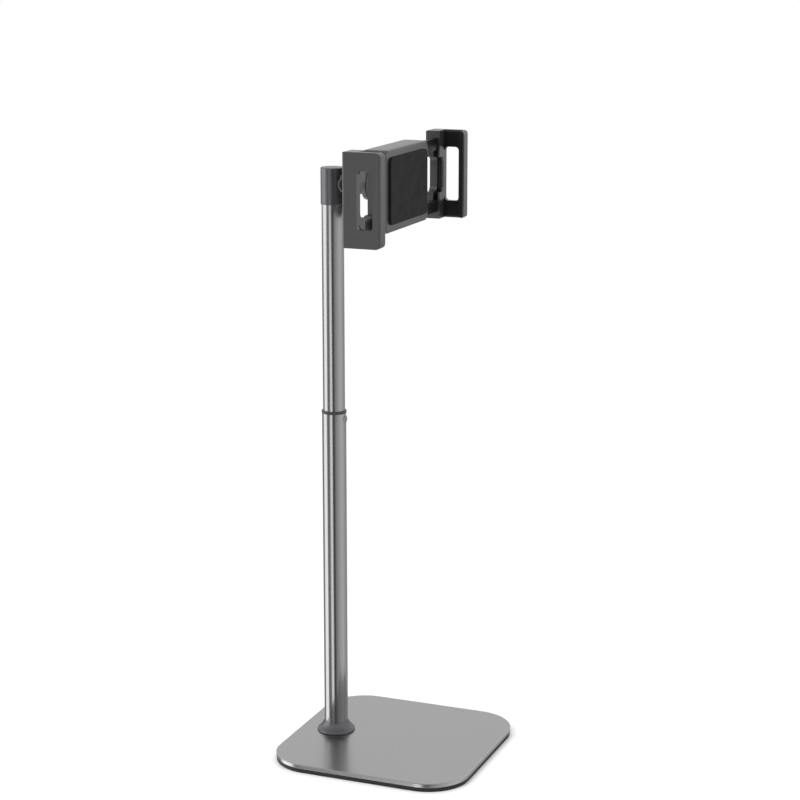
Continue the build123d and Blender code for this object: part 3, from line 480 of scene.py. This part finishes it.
tiltArm = {"discRadius": 12.0, "discThick": 3.6, "discEdge": 0.5, "seatEdge": 0.25,
           "earIn": 4.8, "earOut": 9.6, "earRoot": 1.0, "soft": 0.4}
armFront = corners("tilt_arm")[1].x
discRadius = tiltArm["discRadius"]
discX = armFront - tiltArm["discThick"]
head = (0, 0, headZ)
profile = [(0, discX), (discRadius, discX), (discRadius, armFront), (0, armFront)]
disc = lathe(profile, head, xAxis, [(1, tiltArm["discEdge"]), (2, tiltArm["seatEdge"])], closed=False)
ears = []
for side in (-1, 1):
    inner, outer = sorted((side * tiltArm["earIn"], side * tiltArm["earOut"]))
    ears.append(soften(ear(inner, outer, discX + tiltArm["earRoot"]), tiltArm["soft"]))
bm = carve(disc, ears, "UNION")
makePiece("tiltArm", bm, ["tilt_arm"], [castLacquer])


def socketScrew(centre, axis, look, headFace, headSeat, tip):
    # head from its face to its seat, shank to the tip, and a hex socket in the face
    inward = 1 if headSeat > headFace else -1
    profile = [(0, headFace), (look["head"], headFace), (look["head"], headSeat), (look["shank"], headSeat),
               (look["shank"], tip), (0, tip)]
    bm = lathe(profile, centre, axis, [(1, look["edge"])], closed=False, steps=meshing["rodSteps"])
    start, end = sorted((headFace - inward * past, headFace + inward * look["deep"]))
    return carve(bm, [hexRod(centre, axis, look["flats"], start, end)])


hingeBolt = {"head": 4.6, "headHigh": 1.8, "shank": 2.5, "flats": 3.0, "deep": 1.1, "edge": 0.3}
boltLow, boltHigh = corners("hinge_bolt")
bm = socketScrew(hinge, yAxis, hingeBolt, boltLow.y, boltLow.y + hingeBolt["headHigh"], boltHigh.y)
makePiece("hingeBolt", bm, ["hinge_bolt"], [blackOxide])


def hexNut(centre, axis, look, start, end):
    hole = rod(centre, axis, look["bore"], start - past, end + past, meshing["holeSteps"])
    return soften(carve(hexRod(centre, axis, look["flats"], start, end), [hole]), look["edge"])


hingeNut = {"flats": 8.0, "bore": 2.52, "edge": 0.25}
nutLow, nutHigh = corners("hinge_nut")
bm = hexNut(hinge, yAxis, hingeNut, nutLow.y, nutHigh.y)
makePiece("hingeNut", bm, ["hinge_nut"], [blackOxide])
print("head ready")


# Turning joint: the disc that the holder turns on, and the nut of its axis

frictionDisc = {"radius": 11.6, "bore": 2.05, "edge": 0.15}
discLow, discHigh = corners("friction_disc")
profile = [(frictionDisc["bore"], discLow.x), (frictionDisc["radius"], discLow.x),
           (frictionDisc["radius"], discHigh.x), (frictionDisc["bore"], discHigh.x)]
bm = lathe(profile, head, xAxis, [(1, frictionDisc["edge"]), (2, frictionDisc["edge"])])
makePiece("frictionDisc", bm, ["friction_disc"], [bushPlastic])

swivelNut = {"flats": 7.0, "bore": 2.02, "edge": 0.25}
nutLow, nutHigh = corners("swivel_nut")
bm = hexNut(head, xAxis, swivelNut, nutLow.x, nutHigh.x)
makePiece("swivelNut", bm, ["swivel_nut"], [zincSteel])
print("turning joint ready")


# Holder: two shells with the rubber pad and their screws

rearShell = {"midHalf": 38.0, "midHalfHigh": 20.2, "railHalfHigh": 32.0, "railIn": 18.5, "railStep": 1.7,
             "corner": 5.0, "backEdge": 1.4, "boss": 12.0, "bossFlare": 4.5, "bossEdge": 0.5,
             "bossRound": 4.0, "bossRoot": 1.0, "channelFloor": 4.8, "pocketHalf": 36.3, "prongIn": 20.2,
             "railOut": 30.3, "layer": 4.4, "screwY": 31.0, "screwHead": 3.0, "screwDeep": 2.0, "soft": 0.3}
shellLow, shellHigh = corners("rear_shell")
midX = shellLow.x + rearShell["boss"]
railX = midX - rearShell["railStep"]
middle = block((midX, -rearShell["midHalf"], headZ - rearShell["midHalfHigh"]),
               (shellHigh.x, rearShell["midHalf"], headZ + rearShell["midHalfHigh"]), xAxis)
rails = []
for side in (-1, 1):
    rail = block((railX, shellLow.y, headZ + side * rearShell["railIn"]),
                 (shellHigh.x, shellHigh.y, headZ + side * rearShell["railHalfHigh"]), xAxis,
                 rearShell["corner"], meshing["cornerSegments"])
    bevelEdges(rail, edgesAt(rail, xAxis, railX), rearShell["backEdge"], meshing["edgeSegments"])
    rails.append(rail)
bossFoot = discRadius + rearShell["bossFlare"]
profile = [(0, shellLow.x), (discRadius, shellLow.x), (discRadius, midX - rearShell["bossFlare"]),
           (bossFoot, midX), (bossFoot, midX + rearShell["bossRoot"]), (0, midX + rearShell["bossRoot"])]
boss = lathe(profile, head, xAxis, [(1, rearShell["bossEdge"]), (2, rearShell["bossRound"])], closed=False,
             segments=meshing["roundSegments"])
bm = carve(middle, rails + [boss], "UNION")

channelX = midX + rearShell["channelFloor"]
cutters = [rod((0, side * rearShell["screwY"], headZ), xAxis, rearShell["screwHead"], midX - past,
               midX + rearShell["screwDeep"]) for side in (-1, 1)]
pocketHalf = rearShell["pocketHalf"]
cutters.append(block((channelX, -pocketHalf, headZ - rearShell["railOut"]),
                     (shellHigh.x + past, pocketHalf, headZ + rearShell["railOut"]), xAxis))
for side, layer in ((-1, 0), (1, 1)):  # the openings in the ends, one layer for each arm
    openX = channelX + layer * rearShell["layer"]
    for half in (-1, 1):
        cutters.append(block((openX, side * (pocketHalf - past), headZ + half * rearShell["prongIn"]),
                             (openX + rearShell["layer"], side * (shellHigh.y + past),
                              headZ + half * rearShell["railOut"]), xAxis))
bm = carve(bm, cutters)
makePiece("rearShell", soften(bm, rearShell["soft"]), ["rear_shell"], [jawPlastic])

frontShell = {"corner": 5.0, "frontEdge": 1.4, "margin": 6.0, "sunk": 1.0, "post": 2.95, "soft": 0.25}
coverLow, coverHigh = corners("front_shell")
coverX = shellHigh.x
bm = block((coverX, coverLow.y, coverLow.z), coverHigh, xAxis, frontShell["corner"],
           meshing["cornerSegments"])
bevelEdges(bm, edgesAt(bm, xAxis, coverHigh.x), frontShell["frontEdge"], meshing["edgeSegments"])
inset = Vector((0, frontShell["margin"], frontShell["margin"]))
pocket = block(Vector((coverHigh.x - frontShell["sunk"], coverLow.y, coverLow.z)) + inset,
               coverHigh - inset + Vector((past, 0, 0)), xAxis, frontShell["corner"],
               meshing["cornerSegments"])
bm = carve(bm, [pocket])
bm = carve(bm, [rod(head, xAxis, frontShell["post"], coverLow.x, coverX + past)], "UNION")
makePiece("frontShell", soften(bm, frontShell["soft"]), ["front_shell"], [jawPlastic])

frontPad = {"corner": 5.0, "edge": 0.8}
padLow, padHigh = corners("front_pad")
bm = block(padLow, padHigh, xAxis, frontPad["corner"], meshing["cornerSegments"])
bevelEdges(bm, edgesAt(bm, xAxis, padHigh.x), frontPad["edge"], meshing["edgeSegments"])
makePiece("frontPad", bm, ["front_pad"], [gripRubber])

shellScrew = {"head": 2.8, "headHigh": 1.6, "shank": 1.5, "flats": 2.0, "deep": 0.9, "edge": 0.25}
screwLow, screwHigh = corners("shell_screws")
screws = joinParts([
    socketScrew((0, side * rearShell["screwY"], headZ), xAxis, shellScrew, screwLow.x,
                screwLow.x + shellScrew["headHigh"], screwHigh.x) for side in (-1, 1)])
makePiece("shellScrews", screws, ["shell_screws"], [blackOxide])
print("housing ready")


# Jaws with their rubber linings and screws, near and far

jaw = {"wall": 4.0, "flangeDeep": 12.0, "lipThick": 3.0, "lipReach": 9.9, "lipFace": 1.2, "tipPad": 1.2,
       "frontCorner": 4.0, "rearCorner": 1.5, "frontRound": 2.0, "rearRound": 1.8,
       "slotHigh": 44.4, "slotWide": 12.7, "slotCorner": 3.0, "windowHalf": 14.4, "windowEnd": 7.1,
       "windowCorner": 4.5, "armHalf": 30.02, "armThick": 4.04, "armGap": 0.02, "armEnd": 2.08,
       "screwIn": 10.6, "screwZ": 25.25, "screwHead": 2.9, "screwDeep": 1.1, "over": 2.0, "soft": 0.35}
jawPad = {"thick": 1.9, "lipThick": 1.6, "soft": 0.4}
jawScrew = {"head": 2.7, "headHigh": 1.1, "shank": 1.5, "flats": 2.0, "deep": 0.7, "edge": 0.2}
slotLow = headZ - jaw["slotHigh"] / 2
slotTop = headZ + jaw["slotHigh"] / 2

for side, name in ((-1, "near"), (1, "far")):
    jawLow, jawHigh = corners(name + "_jaw")
    out = jawHigh.y if side > 0 else jawLow.y
    inner = jawLow.y if side > 0 else jawHigh.y
    flangeX = jawLow.x + jaw["flangeDeep"]
    slotX = flangeX + jaw["slotWide"]
    lipX = jawHigh.x - jaw["lipThick"]
    faceX = jawHigh.x - jaw["lipFace"]
    wallIn = out - side * jaw["wall"]
    lipIn = out - side * jaw["lipReach"]
    tipIn = lipIn + side * jaw["tipPad"]

    # seen from above, the outer side meets the front and the back in soft rounds
    bm = prism([(jawLow.x, inner, jawLow.z), (jawLow.x, out, jawLow.z), (jawHigh.x, out, jawLow.z),
                (jawHigh.x, inner, jawLow.z)], (0, 0, jawHigh.z - jawLow.z),
               [(1, jaw["rearRound"]), (2, jaw["frontRound"])])
    # seen from the side: small corners behind, large ones in front
    sideY = out + side * past
    sideView = prism([(jawLow.x, sideY, jawLow.z), (jawHigh.x, sideY, jawLow.z),
                      (jawHigh.x, sideY, jawHigh.z), (jawLow.x, sideY, jawHigh.z)],
                     (0, inner - out - 2 * side * past, 0),
                     [(0, jaw["rearCorner"]), (1, jaw["frontCorner"]), (2, jaw["frontCorner"]),
                      (3, jaw["rearCorner"])])
    bm = carve(bm, [sideView], "INTERSECT")

    # three steps leave the wall, the lip and its tip; then the slot, the window and the arm's seat
    underY = inner - side * jaw["over"]
    under, above = jawLow.z - jaw["over"], jawHigh.z + jaw["over"]
    windowOut = out - side * jaw["windowEnd"]
    armX = corners(name + "_arm")[0].x - jaw["armGap"]
    cutters = [
        block((flangeX, underY, under), (jawHigh.x + jaw["over"], lipIn, above), zAxis),
        block((flangeX, underY, under), (faceX, tipIn, above), zAxis),
        block((flangeX, underY, under), (lipX, wallIn, above), zAxis),
        block((flangeX, wallIn - side * past, slotLow), (slotX, sideY, slotTop), yAxis, jaw["slotCorner"]),
        block((jawLow.x - past, 2 * inner - windowOut, headZ - jaw["windowHalf"]),
              (flangeX + past, windowOut, headZ + jaw["windowHalf"]), xAxis, jaw["windowCorner"]),
        block((armX, underY, headZ - jaw["armHalf"]),
              (armX + jaw["armThick"], out - side * jaw["armEnd"], headZ + jaw["armHalf"]), xAxis),
    ]
    screwCentres = [(0, out - side * jaw["screwIn"], headZ + half * jaw["screwZ"]) for half in (-1, 1)]
    for centre in screwCentres:
        cutters.append(rod(centre, xAxis, jaw["screwHead"], jawLow.x - past, jawLow.x + jaw["screwDeep"],
                           meshing["holeSteps"]))
    bm = carve(bm, cutters)
    makePiece(name + "Jaw", soften(bm, jaw["soft"]), [name + "_jaw"], [jawPlastic])

    liningLow, liningHigh = corners(name + "_jaw_pad")
    padIn = wallIn - side * jawPad["thick"]
    padLip = lipX - jawPad["lipThick"]
    outline = [(flangeX, padIn), (flangeX, wallIn), (lipX, wallIn), (lipX, tipIn), (faceX, tipIn),
               (faceX, lipIn), (padLip, lipIn), (padLip, padIn)]
    bm = prism([(x, y, liningLow.z) for x, y in outline], (0, 0, liningHigh.z - liningLow.z))
    slot = block((flangeX, padIn - side * past, slotLow), (slotX, wallIn + side * past, slotTop), yAxis,
                 jaw["slotCorner"])
    bm = carve(bm, [slot])
    makePiece(name + "JawPad", soften(bm, jawPad["soft"]), [name + "_jaw_pad"], [gripRubber])

    screwLow, screwHigh = corners(name + "_jaw_screws")
    screws = joinParts([socketScrew(centre, xAxis, jawScrew, screwLow.x, screwLow.x + jawScrew["headHigh"],
                                    screwHigh.x) for centre in screwCentres])
    makePiece(name + "JawScrews", screws, [name + "_jaw_screws"], [blackOxide])
print("jaws ready")


# The nodes that keep their own shape get their finish

keptNodes = (
    (zincSteel, ("foot_washer", "foot_bolt", "guide_washer", "guide_screw", "swivel_washer", "swivel_bolt")),
    (turnedAlloy, ("foot_plug", "tube_plug")),
    (naturalNylon, ("guide_sleeve", "hinge_washers", "pinion")),
    (anodisedPlate, ("near_arm", "far_arm")),
    (springWire, ("near_spring", "far_spring")),
)
for material, names in keptNodes:
    for name in names:
        node = frame["nodes"][name]
        if not node.material_slots:
            node.data.materials.append(material)
        for index in range(len(node.material_slots)):
            node.material_slots[index].material = material
print("kept nodes ready")


# Studio: camera, air, floor, what metal reflects, and lamps. Places are in metres.

studio = {"azimuth": 21.79, "elevation": 12.943, "location": (0.61122, -1.51784, 0.67149), "lens": 94.07,
          "sensor": 36.0, "floorColour": "#f6f6f6", "floorRadius": 6.0, "floorDrop": 0.0001, "steps": 96,
          "fadeStart": 0.16, "fadeEnd": 0.9, "ambient": 0.55, "ceiling": 0.50, "ceilingStart": 32.0,
          "ceilingEnd": 62.0}

camera = bpy.data.objects.new("camera", bpy.data.cameras.new("camera"))
bpy.context.scene.collection.objects.link(camera)
camera.data.lens = studio["lens"]
camera.data.sensor_width = studio["sensor"]
camera.location = studio["location"]
camera.rotation_euler = (math.radians(90 - studio["elevation"]), 0, math.radians(studio["azimuth"]))
bpy.context.scene.camera = camera
bpy.context.scene.view_settings.view_transform = "Standard"

world = bpy.data.worlds.new("studioAir")
bpy.context.scene.world = world
world.use_nodes = True
tree = world.node_tree
tree.nodes.clear()
ray = addNode(tree, "ShaderNodeLightPath")
seen = addNode(tree, "ShaderNodeMath", {"operation": "MAXIMUM"}, {
    0: ray.outputs["Is Camera Ray"], 1: ray.outputs["Is Glossy Ray"]})
seen = addNode(tree, "ShaderNodeMath", {"operation": "MAXIMUM"}, {
    0: seen.outputs["Value"], 1: ray.outputs["Is Transmission Ray"]})
power = addNode(tree, "ShaderNodeMapRange", inputs={
    "Value": seen.outputs["Value"], "To Min": studio["ambient"], "To Max": 1.0})
# straight above hangs a darker ceiling, which only reflections show
place = addNode(tree, "ShaderNodeTexCoord")
parts = addNode(tree, "ShaderNodeSeparateXYZ", inputs={"Vector": place.outputs["Generated"]})
ceiling = addNode(tree, "ShaderNodeMapRange", inputs={
    "Value": parts.outputs["Z"], "From Min": math.sin(math.radians(studio["ceilingStart"])),
    "From Max": math.sin(math.radians(studio["ceilingEnd"])), "To Min": 0.0, "To Max": 1 - studio["ceiling"]})
shade = addNode(tree, "ShaderNodeMath", {"operation": "MULTIPLY"}, {
    0: ceiling.outputs["Result"], 1: ray.outputs["Is Glossy Ray"]})
power = addNode(tree, "ShaderNodeMath", {"operation": "SUBTRACT"}, {
    0: power.outputs["Result"], 1: shade.outputs["Value"]})
sky = addNode(tree, "ShaderNodeBackground", inputs={
    "Color": toLinear("#ffffff"), "Strength": power.outputs["Value"]})
addNode(tree, "ShaderNodeOutputWorld", inputs={"Surface": sky.outputs["Background"]})

# the floor takes the stand's shadow, and away from it the camera sees plain white
floorMaterial, tree = newMaterial("paleStudioFloor")
place = addNode(tree, "ShaderNodeTexCoord")
distance = addNode(tree, "ShaderNodeVectorMath", {"operation": "LENGTH"}, {0: place.outputs["Object"]})
fade = addNode(tree, "ShaderNodeMapRange", {"interpolation_type": "SMOOTHSTEP"}, {
    "Value": distance.outputs["Value"], "From Min": studio["fadeStart"], "From Max": studio["fadeEnd"]})
matt = addNode(tree, "ShaderNodeBsdfDiffuse", inputs={"Color": toLinear(studio["floorColour"])})
white = addNode(tree, "ShaderNodeEmission", inputs={"Color": toLinear("#ffffff"), "Strength": 1.0})
ray = addNode(tree, "ShaderNodeLightPath")
share = addNode(tree, "ShaderNodeMath", {"operation": "MULTIPLY"}, {
    0: fade.outputs["Result"], 1: ray.outputs["Is Camera Ray"]})
mixed = addNode(tree, "ShaderNodeMixShader", inputs={
    "Fac": share.outputs["Value"], 1: matt.outputs["BSDF"], 2: white.outputs["Emission"]})
addNode(tree, "ShaderNodeOutputMaterial", inputs={"Surface": mixed.outputs["Shader"]})
bm = bmesh.new()
bmesh.ops.create_circle(bm, cap_ends=True, radius=studio["floorRadius"], segments=studio["steps"])
bmesh.ops.translate(bm, vec=(0, 0, -studio["floorDrop"]), verts=bm.verts[:])
floor = toObject(bm, "floor")
floor.data.materials.append(floorMaterial)
floor.visible_glossy = False  # low metal parts then show the studio round them and not the floor

# What polished metal shows of the studio: soft boxes and dark flags, by the angle from the camera.
# Above table height the first box is wider, the second dimmer, and the wall behind is paler.
surround = {
    "radius": 2.6, "bottom": -1.6, "top": 1.4, "strength": 2.0, "riseStart": 0.02, "riseEnd": 0.20,
    "lowStops": (
        (-180, 0.16), (-120, 0.16), (-112, 0.92), (-76, 0.98), (-70, 0.13), (-42, 0.14), (-37, 0.72),
        (-19, 0.74), (-14, 0.05), (2, 0.05), (12, 0.20), (40, 0.32), (75, 0.44), (100, 0.37),
        (125, 0.26), (180, 0.18)),
    "highStops": (
        (-180, 0.47), (-120, 0.47), (-110, 0.92), (-66, 0.98), (-59, 0.12), (-42, 0.12), (-37, 0.34),
        (-19, 0.34), (-14, 0.05), (2, 0.05), (12, 0.20), (40, 0.32), (75, 0.44), (100, 0.37),
        (120, 0.47), (180, 0.47))}
bm = bmesh.new()
bmesh.ops.create_cone(bm, cap_ends=False, segments=studio["steps"], radius1=surround["radius"],
                      radius2=surround["radius"], depth=surround["top"] - surround["bottom"])
bmesh.ops.translate(bm, vec=(pole.x * mm, 0, (surround["top"] + surround["bottom"]) / 2), verts=bm.verts[:])
ring = toObject(bm, "studioSurround")
ringMaterial, tree = newMaterial("softBoxesAndFlags")
place = addNode(tree, "ShaderNodeTexCoord")
turned = addNode(tree, "ShaderNodeMapping", {"vector_type": "TEXTURE"}, {
    "Vector": place.outputs["Object"], "Location": (pole.x * mm, 0, 0),
    "Rotation": (0, 0, math.radians(studio["azimuth"] - 90))})
parts = addNode(tree, "ShaderNodeSeparateXYZ", inputs={"Vector": turned.outputs["Vector"]})
angle = addNode(tree, "ShaderNodeMath", {"operation": "ARCTAN2"}, {
    0: parts.outputs["Y"], 1: parts.outputs["X"]})
along = addNode(tree, "ShaderNodeMapRange", inputs={
    "Value": angle.outputs["Value"], "From Min": -math.pi, "From Max": math.pi})
ramps = []
for stops in (surround["lowStops"], surround["highStops"]):
    ramps.append(addNode(tree, "ShaderNodeValToRGB", inputs={"Fac": along.outputs["Result"]}))
    elements = ramps[-1].color_ramp.elements
    for degrees, level in stops:
        spot = (degrees + 180) / 360
        stop = {0.0: elements[0], 1.0: elements[-1]}.get(spot) or elements.new(spot)
        stop.color = (level, level, level, 1.0)
rise = addNode(tree, "ShaderNodeMapRange", {"interpolation_type": "SMOOTHSTEP"}, {
    "Value": parts.outputs["Z"], "From Min": surround["riseStart"], "From Max": surround["riseEnd"]})
shown = addNode(tree, "ShaderNodeMix", {"data_type": "RGBA"}, {
    "Factor": rise.outputs["Result"], "A": ramps[0].outputs["Color"], "B": ramps[1].outputs["Color"]})
glow = addNode(tree, "ShaderNodeEmission", inputs={
    "Color": shown.outputs["Result"], "Strength": surround["strength"]})
addNode(tree, "ShaderNodeOutputMaterial", inputs={"Surface": glow.outputs["Emission"]})
ring.data.materials.append(ringMaterial)
ring.visible_camera = False
ring.visible_diffuse = False
ring.visible_shadow = False
ring.visible_transmission = False

lamps = {  # angle from the camera, elevation, distance in metres, size in metres, watts
    "keyLamp": (-55, 42, 2.4, 1.5, 26.0),
    "fillLamp": (65, 30, 2.6, 1.8, 14.0),
    "topLamp": (0, 88, 2.2, 2.0, 16.0),
    "backLamp": (180, 40, 2.4, 1.5, 12.0),
}
aim = Vector((0, 0, 0.22))  # the lamps point at about the middle of the stand
for name, (around, above, away, size, watts) in lamps.items():
    light = bpy.data.lights.new(name, "AREA")
    light.size = size
    light.energy = watts
    lamp = bpy.data.objects.new(name, light)
    bpy.context.scene.collection.objects.link(lamp)
    heading = math.radians(studio["azimuth"] - 90 + around)
    lift = math.radians(above)
    towards = Vector((math.cos(heading) * math.cos(lift), math.sin(heading) * math.cos(lift), math.sin(lift)))
    lamp.location = aim + towards * away
    lamp.rotation_euler = towards.to_track_quat("Z", "Y").to_euler()
    lamp.visible_glossy = False
print("studio ready")
